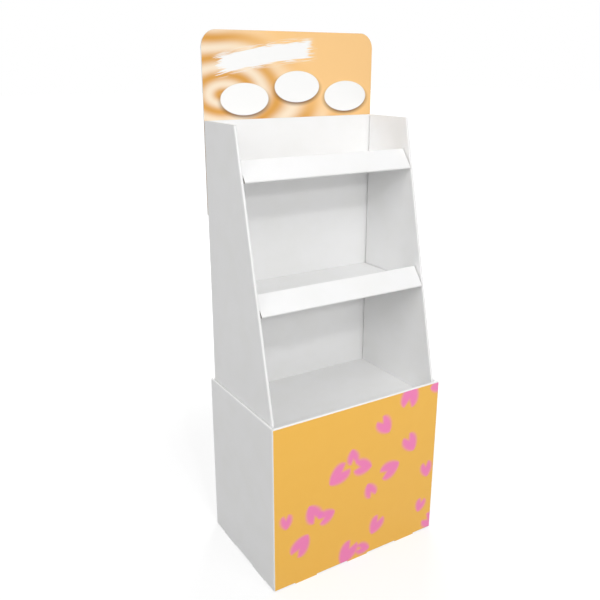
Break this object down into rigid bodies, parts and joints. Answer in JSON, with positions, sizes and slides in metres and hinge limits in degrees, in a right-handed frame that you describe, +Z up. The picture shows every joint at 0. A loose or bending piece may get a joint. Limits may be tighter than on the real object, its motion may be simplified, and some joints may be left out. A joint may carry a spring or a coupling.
{
  "type": "cardboard display stand",
  "caption": "Free-standing corrugated board display stand with a base box, a sloped open body, wrapped shelves over a deck, and a printed header board.",
  "frame": {"origin": "on the floor, under the middle of the base box", "axes": "+Z up, the printed front faces -Y, +X to the right seen from the front"},
  "size_m": [0.45, 0.295, 1.175],
  "materials": {
    "white_board": "white coated corrugated board, matt",
    "support_board": "plain brown corrugated board",
    "base_print": "white board with an orange and pink printed front, satin varnish",
    "header_print": "orange printed board, satin varnish",
    "foam_tape": "white double-sided foam tape"
  },
  "bodies": {
    "root": {"base_box": "base_print", "support_long": "support_board", "support_cross_left": "support_board", "support_cross_right": "support_board", "bottom_deck": "white_board", "body_shell": "white_board", "middle_shelf": "white_board", "upper_shelf": "white_board", "header_board": "header_print", "header_tape_left": "foam_tape", "header_tape_right": "foam_tape"}
  },
  "joints": []
}
